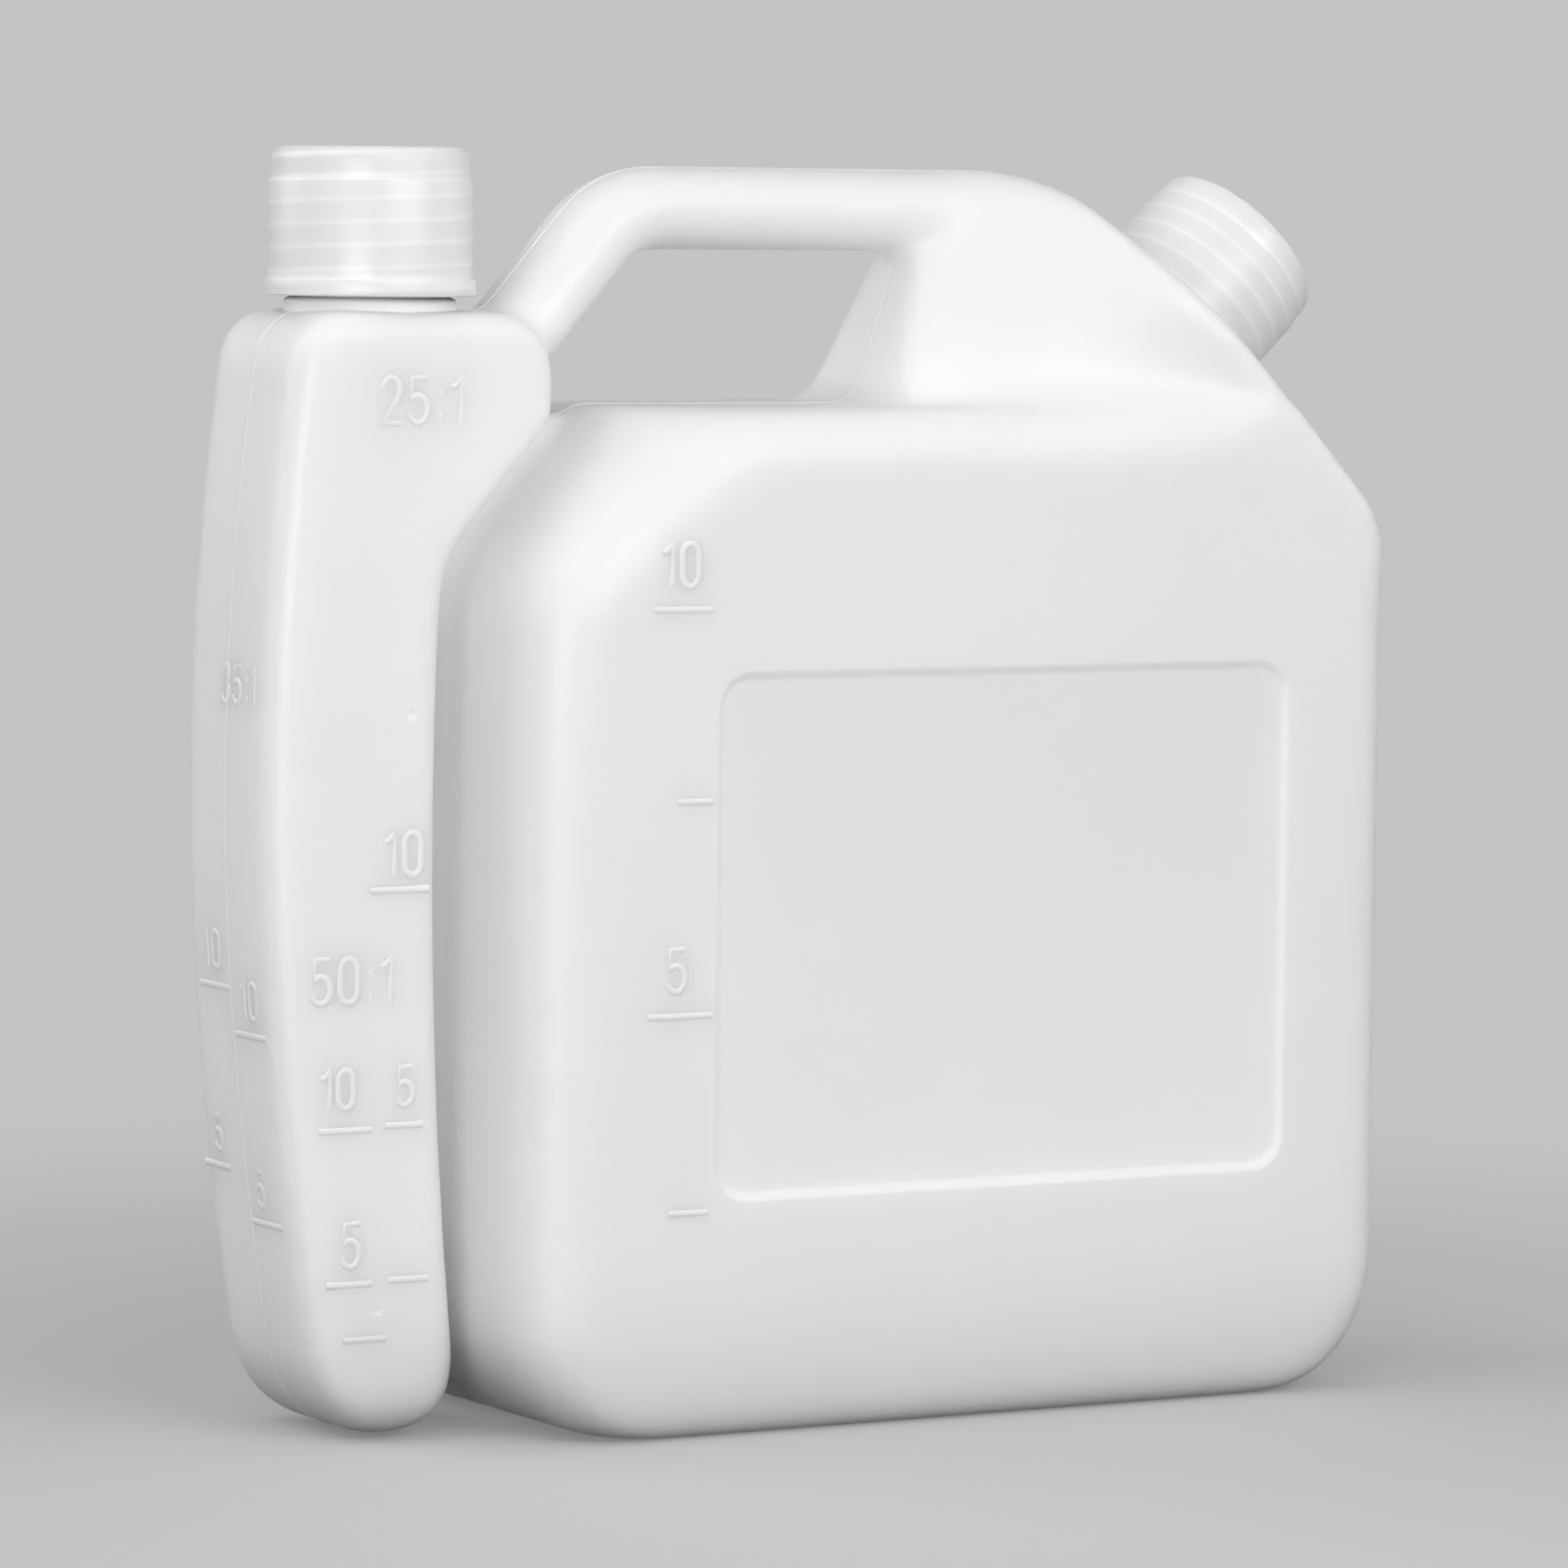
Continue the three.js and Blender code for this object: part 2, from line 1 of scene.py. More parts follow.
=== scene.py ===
"""Looks of the fuel mixing bottle: a smooth blown body with a finer skin than its CAD solid, the raised
scales, the necks' threads and the two caps, on a pale floor in soft studio light."""

import math

import bmesh
import bpy
import numpy as np
from mathutils import Matrix, Vector


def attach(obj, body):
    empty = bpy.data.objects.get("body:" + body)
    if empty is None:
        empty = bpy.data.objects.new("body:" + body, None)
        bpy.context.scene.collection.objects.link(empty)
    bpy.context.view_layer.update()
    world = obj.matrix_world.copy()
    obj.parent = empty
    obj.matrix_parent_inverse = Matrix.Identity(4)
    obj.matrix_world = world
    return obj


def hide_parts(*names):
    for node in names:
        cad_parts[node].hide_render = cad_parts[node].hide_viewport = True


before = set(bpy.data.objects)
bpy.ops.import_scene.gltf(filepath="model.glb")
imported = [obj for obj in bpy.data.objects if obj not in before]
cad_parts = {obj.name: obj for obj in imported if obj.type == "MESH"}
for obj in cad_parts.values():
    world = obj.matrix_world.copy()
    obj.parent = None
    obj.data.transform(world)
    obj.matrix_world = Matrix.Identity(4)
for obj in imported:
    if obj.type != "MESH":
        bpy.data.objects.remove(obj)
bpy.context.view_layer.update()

MM = 0.001

# Camera: azimuth -30 and elevation 4.3 degrees, with the slight lean of the photograph
VIEW_AZIMUTH = math.radians(30)
VIEW_ELEVATION = math.radians(4.3)
VIEW_LEAN = 0.012
VIEW_TARGET = Vector((-15.98, -31, 94.24))
VIEW_DISTANCE = 1126.76
FOCAL_LENGTH = 180

# Petrol chamber, in millimetres, as in the CAD source
LEFT_END, RIGHT_END, HALF_DEPTH = -55.6, 89.95, 31.5
LEFT_CORNER, RIGHT_CORNER = 9, 7
BASE_EDGE, BASE_LEFT, BASE_RIGHT = 3.5, 17, 19.5
BASE_LIFT, FOOT_WIDTH = 1.4, 7
LEDGE, LEDGE_RADIUS, TOP = 148, 8, 182.5
FACE_X, FACE_Z, FACE_TILT = 64.6, 157.3, math.radians(47.3)
FOOT_RADIUS, TOP_RADIUS, EDGE_RADIUS = 20, 14, 4
CROWN_REST = 0.4

# Handle and oil chamber
UNDERSIDE, HANDLE_DEPTH, BEND_RADIUS = 170.6, 8.8, 13
LEG_ANGLE, LEG_OFFSET = math.radians(48.5), -138.15
OIL_LEFT, OIL_RIGHT, OIL_DEPTH, OIL_CORNER = -90, -62.7, 15.2, 4
OIL_BASE, OIL_BASE_RADIUS, OIL_BASE_IN, OIL_BASE_EDGE = 0.8, 12.5, 9.3, 6
OIL_TOP, OIL_TOP_LEFT, OIL_TOP_RIGHT_RADIUS, OIL_TOP_EDGE = 161.6, 6.5, 9, 3
OIL_TOP_RIGHT, OIL_LEG_OFFSET, OIL_WAIST = -44.3, -129.95, 93
WEB_GAP = 6

OIL_NECK = Matrix.Translation((-67.5, 0, OIL_TOP))
PETROL_NECK = (Matrix.Translation((FACE_X, 0, FACE_Z)) @ Matrix.Rotation(FACE_TILT, 4, "Y")
               @ Matrix.Translation((0, 0, -0.8)))


def drawn_in(radius, height):
    rise = min(max(height, 0), radius)
    return radius - math.sqrt(radius * radius - rise * rise)


def soft_max(a, b, softness):
    return (a + b + math.sqrt((a - b) ** 2 + softness ** 2)) / 2


def smooth_step(x, low, high):
    t = min(max((x - low) / (high - low), 0), 1)
    return t * t * (3 - 2 * t)


def leg_x(z, offset):
    return (offset + math.cos(LEG_ANGLE) * z) / math.sin(LEG_ANGLE)


def petrol_left(z):
    return soft_max(LEFT_END, leg_x(z, OIL_LEG_OFFSET + WEB_GAP), 5) - 0.3


def petrol_right(z):
    start = FACE_Z - (RIGHT_END - FACE_X) * math.tan(FACE_TILT) - FOOT_RADIUS * math.tan((math.pi / 2 - FACE_TILT) / 2)
    if z < start + FOOT_RADIUS * math.cos(FACE_TILT):
        return RIGHT_END - drawn_in(FOOT_RADIUS, z - start)
    if z < TOP - TOP_RADIUS * (1 - math.cos(FACE_TILT)):
        return FACE_X - (z - FACE_Z) / math.tan(FACE_TILT)
    centre = FACE_X - (TOP - FACE_Z) / math.tan(FACE_TILT) - TOP_RADIUS * math.tan(FACE_TILT / 2)
    return centre + TOP_RADIUS - drawn_in(TOP_RADIUS, z - TOP + TOP_RADIUS)


def crown_share(z, height):
    climb = max(0, z - TOP + height) / (height + CROWN_REST)
    return math.sqrt(1 - climb * climb)


def petrol_right_depth(z):
    leaning = HALF_DEPTH - 1.05 * (z - 163)
    return -soft_max(-HALF_DEPTH, -leaning, 6) * crown_share(z, 6)


def ring(z, left, right, left_depth, right_depth, left_radius, right_radius, arc=10, span=30):
    """One level ring of points, anticlockwise from the front left corner."""
    widest = (right - left) / 2 * 0.9
    l = min(left_radius, widest, left_depth * 0.9)
    r = min(right_radius, widest, right_depth * 0.9)
    corners = [(left + l, -left_depth + l, l), (right - r, -right_depth + r, r),
               (right - r, right_depth - r, r), (left + l, left_depth - l, l)]
    points = []
    for k, (x, y, radius) in enumerate(corners):
        for i in range(arc + 1):
            angle = math.pi + (k + i / arc) * math.pi / 2
            points.append((x + radius * math.cos(angle), y + radius * math.sin(angle), z))
        nx, ny, n_radius = corners[(k + 1) % 4]
        angle = math.pi + (k + 1) * math.pi / 2
        start = points[-1]
        to = (nx + n_radius * math.cos(angle), ny + n_radius * math.sin(angle))
        steps = span if k % 2 == 0 else 4
        for i in range(1, steps):
            t = i / steps
            points.append((start[0] + (to[0] - start[0]) * t, start[1] + (to[1] - start[1]) * t, z))
    return points


def petrol_ring(z):
    if z <= max(BASE_LEFT, BASE_RIGHT):
        depth = HALF_DEPTH - drawn_in(BASE_EDGE, BASE_EDGE - z)
        return ring(z, petrol_left(z) + drawn_in(BASE_LEFT, BASE_LEFT - z), RIGHT_END - drawn_in(BASE_RIGHT, BASE_RIGHT - z),
                    depth, depth, LEFT_CORNER, RIGHT_CORNER)
    radius = RIGHT_CORNER + (EDGE_RADIUS - RIGHT_CORNER) * smooth_step(z, 118, 134)
    if z <= LEDGE:
        left_corner = LEFT_CORNER + 9 * smooth_step(z, 118, 148)
        return ring(z, petrol_left(z), petrol_right(z), HALF_DEPTH - drawn_in(LEDGE_RADIUS, z - LEDGE + LEDGE_RADIUS),
                    HALF_DEPTH, left_corner, radius)
    rise = z - LEDGE
    fillet = 3 * max(0, 1 - rise / 3) ** 2
    wall = max(HANDLE_DEPTH, 18 - rise * 0.42) * crown_share(z, 8.5)
    return ring(z, 13.3 + rise * 0.29 - fillet, petrol_right(z), wall, petrol_right_depth(z), EDGE_RADIUS, radius)


def oil_ring(z):
    below = max(0, OIL_WAIST - z) / OIL_WAIST
    above = max(0, z - OIL_WAIST) / (OIL_TOP - OIL_WAIST)
    base_in = OIL_BASE_IN * drawn_in(OIL_BASE_RADIUS, OIL_BASE + OIL_BASE_RADIUS - z) / OIL_BASE_RADIUS
    upright = OIL_RIGHT + 5.2 * below ** 2.2 + above
    right = min(soft_max(upright, leg_x(z, OIL_LEG_OFFSET), 3) - 0.2, OIL_TOP_RIGHT)
    depth = (OIL_DEPTH - drawn_in(OIL_BASE_EDGE, OIL_BASE + OIL_BASE_EDGE - z)
             - drawn_in(OIL_TOP_EDGE, z - OIL_TOP + OIL_TOP_EDGE))
    left = OIL_LEFT + 9.8 * below ** 1.8 + 5.4 * above ** 2 + base_in + drawn_in(OIL_TOP_LEFT, z - OIL_TOP + OIL_TOP_LEFT)
    right -= base_in + drawn_in(OIL_TOP_RIGHT_RADIUS, z - OIL_TOP + OIL_TOP_RIGHT_RADIUS)
    return ring(z, left, right, depth, depth, OIL_CORNER, OIL_CORNER, span=12)


def handle_rings():
    bar = (TOP + UNDERSIDE) / 2
    half = (TOP - UNDERSIDE) / 2
    corner = leg_x(bar, LEG_OFFSET)
    tangent = BEND_RADIUS * math.tan(LEG_ANGLE / 2)
    places = [(leg_x(z, LEG_OFFSET), z, LEG_ANGLE) for z in np.linspace(131, 170, 30)]
    for i in range(24, -1, -1):
        turn = LEG_ANGLE * i / 24
        places.append((corner + tangent - BEND_RADIUS * math.sin(turn), bar - BEND_RADIUS * (1 - math.cos(turn)), turn))
    places += [(x, bar, 0) for x in np.linspace(corner + tangent + 2, 32, 40)]
    rings = []
    for x, z, turn in places:
        points = []
        for i in range(48):
            a = 2 * math.pi * i / 48
            across = -half * math.copysign(abs(math.cos(a)) ** 0.92, math.cos(a))
            deep = -HANDLE_DEPTH * math.copysign(abs(math.sin(a)) ** 0.92, math.sin(a))
            points.append((x + across * math.sin(turn), deep, z - across * math.cos(turn)))
        rings.append(points)
    return rings


def new_object(name, vertices, faces):
    mesh = bpy.data.meshes.new(name)
    mesh.from_pydata([tuple(c * MM for c in v) for v in vertices], [], faces)
    mesh.validate()
    obj = bpy.data.objects.new(name, mesh)
    bpy.context.scene.collection.objects.link(obj)
    return obj


def loft(name, rings):
    """A closed skin over rings of equally many points."""
    count = len(rings[0])
    vertices = [p for points in rings for p in points]
    faces = []
    for k in range(len(rings) - 1):
        for i in range(count):
            j = (i + 1) % count
            faces.append((k * count + i, k * count + j, (k + 1) * count + j, (k + 1) * count + i))
    faces.append(tuple(reversed(range(count))))
    faces.append(tuple(range((len(rings) - 1) * count, len(rings) * count)))
    return new_object(name, vertices, faces)


def turned(name, profile, place, facets=96):
    """A closed turned shape about a neck's axis. The profile runs from the axis round to the axis."""
    vertices, faces = [], []
    for r, z in profile:
        for i in range(facets):
            a = 2 * math.pi * i / facets
            vertices.append(tuple(place @ Vector((r * math.cos(a), r * math.sin(a), z))))
    for k in range(len(profile) - 1):
        for i in range(facets):
            j = (i + 1) % facets
            faces.append((k * facets + i, k * facets + j, (k + 1) * facets + j, (k + 1) * facets + i))
    obj = new_object(name, vertices, faces)
    merge_points(obj)
    return obj


def merge_points(obj, distance=1e-7):
    bm = bmesh.new()
    bm.from_mesh(obj.data)
    bmesh.ops.remove_doubles(bm, verts=bm.verts, dist=distance)
    bmesh.ops.dissolve_degenerate(bm, dist=distance, edges=bm.edges)
    bmesh.ops.recalc_face_normals(bm, faces=bm.faces)
    bm.to_mesh(obj.data)
    bm.free()


def apply_modifiers(obj):
    """Makes the result of obj's modifiers its plain mesh."""
    bpy.context.view_layer.update()
    evaluated = obj.evaluated_get(bpy.context.evaluated_depsgraph_get())
    mesh = bpy.data.meshes.new_from_object(evaluated)
    obj.modifiers.clear()
    obj.data = mesh
    return obj


def boolean(obj, others, operation):
    for other in others:
        modifier = obj.modifiers.new("join", "BOOLEAN")
        modifier.operation = operation
        modifier.solver = "EXACT"
        modifier.object = other
    apply_modifiers(obj)
    for other in others:
        bpy.data.objects.remove(other)
    return obj


class Tree:
    """A Geometry Nodes tree with named inputs, which ends in Realize Instances and Set Material."""

    def __init__(self, name, **inputs):
        self.group = bpy.data.node_groups.new(name, "GeometryNodeTree")
        self.group.interface.new_socket("Geometry", in_out="OUTPUT", socket_type="NodeSocketGeometry")
        self.group.interface.new_socket("Geometry", in_out="INPUT", socket_type="NodeSocketGeometry")
        self.identifiers = {}
        for key, value in inputs.items():
            socket = self.group.interface.new_socket(key, in_out="INPUT", socket_type="NodeSocketFloat")
            socket.default_value = value
            self.identifiers[key] = socket.identifier
        self.start = self.group.nodes.new("NodeGroupInput")
        self.end = self.group.nodes.new("NodeGroupOutput")

    def node(self, kind, settings=None, **inputs):
        node = self.group.nodes.new(kind)
        for key, value in (settings or {}).items():
            setattr(node, key, value)
        for key, value in inputs.items():
            slot = node.inputs[key.replace("_", " ")]
            if isinstance(value, bpy.types.NodeSocket):
                self.group.links.new(value, slot)
            else:
                slot.default_value = value
        return node

    def named(self, key):
        return self.start.outputs[key]

    def finish(self, geometry, material):
        whole = self.node("GeometryNodeRealizeInstances", Geometry=geometry)
        coated = self.node("GeometryNodeSetMaterial", Geometry=whole.outputs[0], Material=material)
        self.group.links.new(coated.outputs[0], self.end.inputs[0])
        return self

    def run(self, obj, **values):
        modifier = obj.modifiers.new("nodes", "NODES")
        modifier.node_group = self.group
        for key, value in values.items():
            modifier[self.identifiers[key]] = value
        return apply_modifiers(obj)


def smooth_normals(obj, angle=35):
    obj.data.polygons.foreach_set("use_smooth", [True] * len(obj.data.polygons))
    obj.data.set_sharp_from_angle(angle=math.radians(angle))


# The blown body
levels = [0, 0.15, 0.5, 1, 1.7, 2.5, 3.5] + list(np.arange(4.5, 120, 2.5)) + list(np.arange(120, LEDGE, 0.8))
levels += [LEDGE, LEDGE + 0.01] + list(np.arange(LEDGE + 0.6, TOP, 0.8)) + [TOP - 0.3, TOP]
petrol = loft("petrol", [petrol_ring(z) for z in levels])
oil_levels = [OIL_BASE + r for r in (0, 0.2, 0.6, 1.2, 2, 3, 4, 5, 6.5, 8, 10, 12.5)]
oil_levels += list(np.arange(15, OIL_TOP - 9, 1.5)) + [OIL_TOP - d for d in (9, 8, 7, 6, 5, 4, 3, 2.2, 1.5, 1, 0.6, 0.3, 0.1, 0)]
oil = loft("oil", [oil_ring(z) for z in oil_levels])
handle = loft("handle", handle_rings())
web_top = LEDGE - 1.5
web_outline = [(OIL_RIGHT - 3, 6), (LEFT_END + 8, 6), (LEFT_END + 8, 123), (leg_x(web_top, OIL_LEG_OFFSET + WEB_GAP) + 3, web_top),
               (leg_x(web_top, OIL_LEG_OFFSET) - 3, web_top), (OIL_RIGHT - 3, 123)]
web = new_object("web", [(x, y, z) for y in (-1.3, 1.3) for x, z in web_outline],
                 [tuple(range(6)), tuple(range(11, 5, -1))] + [(i + 6, (i + 1) % 6 + 6, (i + 1) % 6, i) for i in range(6)])
for piece in (petrol, oil, handle, web):
    merge_points(piece)
body = boolean(petrol, [oil, handle, web], "UNION")
body.name = "bottle_body"
remesh = body.modifiers.new("remesh", "REMESH")
remesh.mode = "VOXEL"
remesh.voxel_size = 1.06 * MM
apply_modifiers(body)


def fade(values, low, high, width):
    """1 between low and high, softly down to 0 over the width beyond either."""
    return np.clip(np.minimum(values - low, high - values) / width + 1, 0, 1)


# The blown wall turns most softly at the upper left of the petrol chamber and on the shoulder, front and back
places = np.empty(len(body.data.vertices) * 3)
body.data.vertices.foreach_get("co", places)
across, deep, high = places.reshape(-1, 3).T / MM
softness = fade(across, -48, -30, 10) * fade(high, 128, 146, 9) * fade(np.abs(deep), 24, 99, 8)
below_face = (FACE_X - across) * math.sin(FACE_TILT) + (FACE_Z - high) * math.cos(FACE_TILT)
shoulder = fade(across, 24, 88, 9) * fade(high, 146, 174, 7) * fade(np.abs(deep), 14, 99, 6) * fade(below_face, 13, 999, 7)
softness = np.maximum(softness, shoulder)
turning = body.vertex_groups.new(name="turning")
for index in np.nonzero(softness > 0.01)[0]:
    turning.add([int(index)], float(softness[index]), "REPLACE")
for iterations, group in ((11, ""), (90, "turning")):
    smoothing = body.modifiers.new("smooth", "SMOOTH")
    smoothing.factor = 0.5
    smoothing.iterations = iterations
    smoothing.vertex_group = group
apply_modifiers(body)


def panel_cutter():
    """The sunk panel's space: a plate with round corners and softly sloped sides, cut into the front."""
    left, right, bottom, top, radius = -27.2, 70.8, 34.1, 110.6, 5.6
    rings = []
    for inset, depth in [(-0.25, -1)] + [(1.5 * t, 0.8 * t * t * (3 - 2 * t) + 0.02) for t in np.linspace(0, 1, 9)]:
        y = -HALF_DEPTH + depth
        r = radius - inset
        points = []
        for k, (cx, cz) in enumerate([(left + radius, bottom + radius), (right - radius, bottom + radius),
                                      (right - radius, top - radius), (left + radius, top - radius)]):
            for i in range(13):
                a = math.pi + (k + i / 12) * math.pi / 2
                points.append((cx + r * math.cos(a), y, cz + r * math.sin(a)))
        rings.append(points)
    return loft("panel_cutter", rings)


def underside_cutter():
    """The shallow hollow in the petrol chamber's underside, which leaves a flat foot around it."""
    rings = []
    for z in (-1, 0.4, BASE_LIFT - 0.15, BASE_LIFT):
        inset = FOOT_WIDTH + z + (1.2 if z == BASE_LIFT else 0)
        depth = HALF_DEPTH - BASE_EDGE - inset
        rings.append(ring(z, petrol_left(0) + BASE_LEFT + inset, RIGHT_END - BASE_RIGHT - inset, depth, depth,
                          LEFT_CORNER, RIGHT_CORNER))
    return loft("underside_cutter", rings)


def pit(x, y, z, radius):
    """A small shallow pit: the ball that cuts it sits mostly outside the surface."""
    profile = [(radius * math.sin(a), -radius * math.cos(a)) for a in np.linspace(0, math.pi, 33)]
    profile[0] = (0, -radius)
    profile[-1] = (0, radius)
    return turned("pit", profile, Matrix.Translation((x, y - radius * 0.85, z)), 24)


cutters = [panel_cutter(), underside_cutter(), pit(-68.1, -OIL_DEPTH, 104.3, 1.4), pit(-72.6, -OIL_DEPTH, 19.4, 1.5)]
for cutter in cutters:
    merge_points(cutter)
boolean(body, cutters, "DIFFERENCE")

NECK = [(0, -4), (12.4, -4), (12.4, 1.1), (12.25, 1.5), (11.9, 1.7), (11.5, 1.8), (11.3, 2.1), (11.3, 19.5), (11.1, 19.85),
        (10.8, 20), (10.2, 20), (9.85, 19.9), (9.7, 19.6), (9.7, 3), (0, 3)]
necks = [turned("oil_neck", NECK, OIL_NECK), turned("petrol_neck", NECK, PETROL_NECK)]

CAP = [(0, 21.8), (12.9, 21.8), (12.9, 2), (14.7, 2), (15.1, 2.15), (15.2, 2.5), (15.2, 4.0), (15.1, 4.3), (14.65, 4.5),
       (14.65, 18.2), (14.55, 18.5), (14.25, 18.6)]
CAP += [(14.25 - 2 * (1 - math.cos(a)), 23.3 - 2 * (1 - math.sin(a))) for a in np.linspace(0, math.pi / 2, 9)] + [(0, 23.3)]
LINER = [(0, 20.3), (12.5, 20.3), (12.5, 21.5), (0, 21.5)]
caps = {name: turned(name + "_skin", CAP, place) for name, place in (("oil_cap", OIL_NECK), ("petrol_cap", PETROL_NECK))}
liners = {name: turned(name + "_disc", LINER, place)
          for name, place in (("oil_cap_liner", OIL_NECK), ("petrol_cap_liner", PETROL_NECK))}


class Maths:
    """A shader value that plain operators work on."""

    def __init__(self, tree, socket):
        self.tree = tree
        self.socket = socket

    def _make(self, operation, *values):
        node = self.tree.nodes.new("ShaderNodeMath")
        node.operation = operation
        for slot, value in zip(node.inputs, values):
            if isinstance(value, Maths):
                self.tree.links.new(value.socket, slot)
            else:
                slot.default_value = value
        return Maths(self.tree, node.outputs[0])

    def __add__(self, other):
        return self._make("ADD", self, other)

    __radd__ = __add__

    def __mul__(self, other):
        return self._make("MULTIPLY", self, other)

    __rmul__ = __mul__

    def __sub__(self, other):
        return self._make("SUBTRACT", self, other)

    def __rsub__(self, other):
        return self._make("SUBTRACT", other, self)

    def above(self, limit):
        return self._make("GREATER_THAN", self, limit)

    def limited(self):
        return self._make("MINIMUM", 1.0, self._make("MAXIMUM", 0.0, self))

    def fraction(self):
        return self._make("FRACT", self)

    def bell(self, width):
        """1 at zero and falling off softly on either side."""
        scaled = self * (1 / width)
        return self._make("POWER", 0.37, scaled * scaled)


class Shader:
    """One material's node tree."""

    def __init__(self, name):
        self.material = bpy.data.materials.new(name)
        self.material.use_nodes = True
        self.tree = self.material.node_tree
        self.tree.nodes.clear()
        self.output = self.tree.nodes.new("ShaderNodeOutputMaterial")

    def node(self, kind, settings=None, **inputs):
        node = self.tree.nodes.new(kind)
        for key, value in (settings or {}).items():
            setattr(node, key, value)
        for key, value in inputs.items():
            slot = node.inputs[key.replace("_", " ")]
            if isinstance(value, Maths):
                self.tree.links.new(value.socket, slot)
            elif isinstance(value, bpy.types.NodeSocket):
                self.tree.links.new(value, slot)
            else:
                slot.default_value = value
        return node

    def value(self, node, output=0):
        return Maths(self.tree, node.outputs[output])

    def object_coordinates(self):
        return self.node("ShaderNodeTexCoord").outputs["Object"]

    def mix_colour(self, factor, a, b):
        node = self.node("ShaderNodeMix", {"data_type": "RGBA"})
        for key, value in ((0, factor), (6, a), (7, b)):
            slot = node.inputs[key]
            if isinstance(value, Maths):
                self.tree.links.new(value.socket, slot)
            elif isinstance(value, bpy.types.NodeSocket):
                self.tree.links.new(value, slot)
            else:
                slot.default_value = value
        return node.outputs[2]

    def surface(self, socket):
        self.tree.links.new(socket, self.output.inputs["Surface"])


def plastic(name, light, dark, roughness, subsurface, depth, foot_painted_shade=1.0):
    """Milky polyethylene: softly mottled colour, painted shade darkening it towards the foot, uneven gloss and a faint
    ripple from the mould.
    """
    s = Shader(name)
    place = s.object_coordinates()
    x, y, z = (s.value(s.node("ShaderNodeSeparateXYZ", Vector=place), i) * (1 / MM) for i in range(3))
    cloud = s.value(s.node("ShaderNodeTexNoise", Vector=place, Scale=28.0, Detail=3.0, Roughness=0.5))
    grain = s.value(s.node("ShaderNodeTexNoise", Vector=place, Scale=900.0, Detail=2.0, Roughness=0.6))
    ripple = s.value(s.node("ShaderNodeTexNoise", Vector=place, Scale=60.0, Detail=1.0, Roughness=0.4))
    colour = s.mix_colour(cloud, dark, light)
    # Painted shade: the colour darkens towards the foot of the bottle over its lowest 32 mm, down to the given share of
    # it at the very bottom
    foot_shade_ramp = (z * (1 / 32)).limited()
    colour = s.mix_colour(foot_shade_ramp * (2 - foot_shade_ramp), s.mix_colour(1.0 - foot_painted_shade, colour, (0, 0, 0, 1)), colour)
    # Two joints of the mould's blocks show: across the oil chamber, and low on the petrol chamber
    oil_joint = (1 - (z - 119.2).bell(0.5)) * 0.00003 * (-58 - x).above(0)
    front_joint = (z - 54.2 + (x + 50) * 0.03).bell(0.4) * 0.00003 * (x + 66).above(0) * (-27 - x).above(0)
    height = ripple * 0.00035 + grain * 0.00002 + oil_joint + front_joint
    bump = s.node("ShaderNodeBump", Strength=0.35, Distance=1.0, Height=height)
    gloss = cloud * 0.08 + (roughness - 0.04)
    shader = s.node("ShaderNodeBsdfPrincipled", {"subsurface_method": "BURLEY"}, Base_Color=colour, Roughness=gloss,
                    IOR=1.5, Normal=bump.outputs[0], Subsurface_Weight=subsurface, Subsurface_Scale=depth,
                    Subsurface_Radius=(1.0, 0.97, 0.95))
    s.surface(shader.outputs[0])
    return s.material


def cap_plastic(name, place):
    """Thinner milky polyethylene, in which the turns of the thread inside show as faint pale bands."""
    s = Shader(name)
    where = s.object_coordinates()
    centre = [c * MM for c in place.translation]
    from_neck = s.node("ShaderNodeVectorMath", {"operation": "SUBTRACT"}, Vector=where)
    from_neck.inputs[1].default_value = centre

    def along(axis):
        node = s.node("ShaderNodeVectorMath", {"operation": "DOT_PRODUCT"}, Vector=from_neck.outputs[0])
        node.inputs[1].default_value = axis
        return Maths(s.tree, node.outputs["Value"])

    turn = place.to_3x3()
    height = along(turn @ Vector((0, 0, 1))) * (1 / MM)
    sideways = along(turn @ Vector((0, 1, 0)))
    angle = sideways._make("ARCTAN2", sideways, along(turn @ Vector((1, 0, 0))))
    phase = (height * (1 / 3.3) - angle * (1 / (2 * math.pi)) + 20.3).fraction()
    ramp = s.node("ShaderNodeValToRGB", Fac=phase)
    ramp.color_ramp.elements[0].position = 0.0
    ramp.color_ramp.elements[0].color = (0, 0, 0, 1)
    ramp.color_ramp.elements[1].position = 1.0
    ramp.color_ramp.elements[1].color = (0, 0, 0, 1)
    for position, level in ((0.3, 0.0), (0.44, 1.0), (0.5, 1.0), (0.62, 0.25), (0.8, 0.1)):
        ramp.color_ramp.elements.new(position).color = (level, level, level, 1)
    cloud = s.value(s.node("ShaderNodeTexNoise", Vector=where, Scale=60.0, Detail=3.0, Roughness=0.5))
    grain = s.value(s.node("ShaderNodeTexNoise", Vector=where, Scale=1200.0, Detail=2.0, Roughness=0.6))
    base = s.mix_colour(cloud, (0.77, 0.77, 0.77, 1), (0.81, 0.81, 0.81, 1))
    colour = s.mix_colour(Maths(s.tree, ramp.outputs[0]) * 0.5, base, (0.93, 0.93, 0.93, 1))
    bump = s.node("ShaderNodeBump", Strength=0.3, Distance=1.0, Height=grain * 0.00002 + Maths(s.tree, ramp.outputs[0]) * 0.00003)
    shader = s.node("ShaderNodeBsdfPrincipled", {"subsurface_method": "BURLEY"}, Base_Color=colour, Roughness=cloud * 0.1 + 0.27,
                    IOR=1.5, Normal=bump.outputs[0], Subsurface_Weight=0.5, Subsurface_Scale=0.004,
                    Subsurface_Radius=(1.0, 0.97, 0.95))
    s.surface(shader.outputs[0])
    return s.material


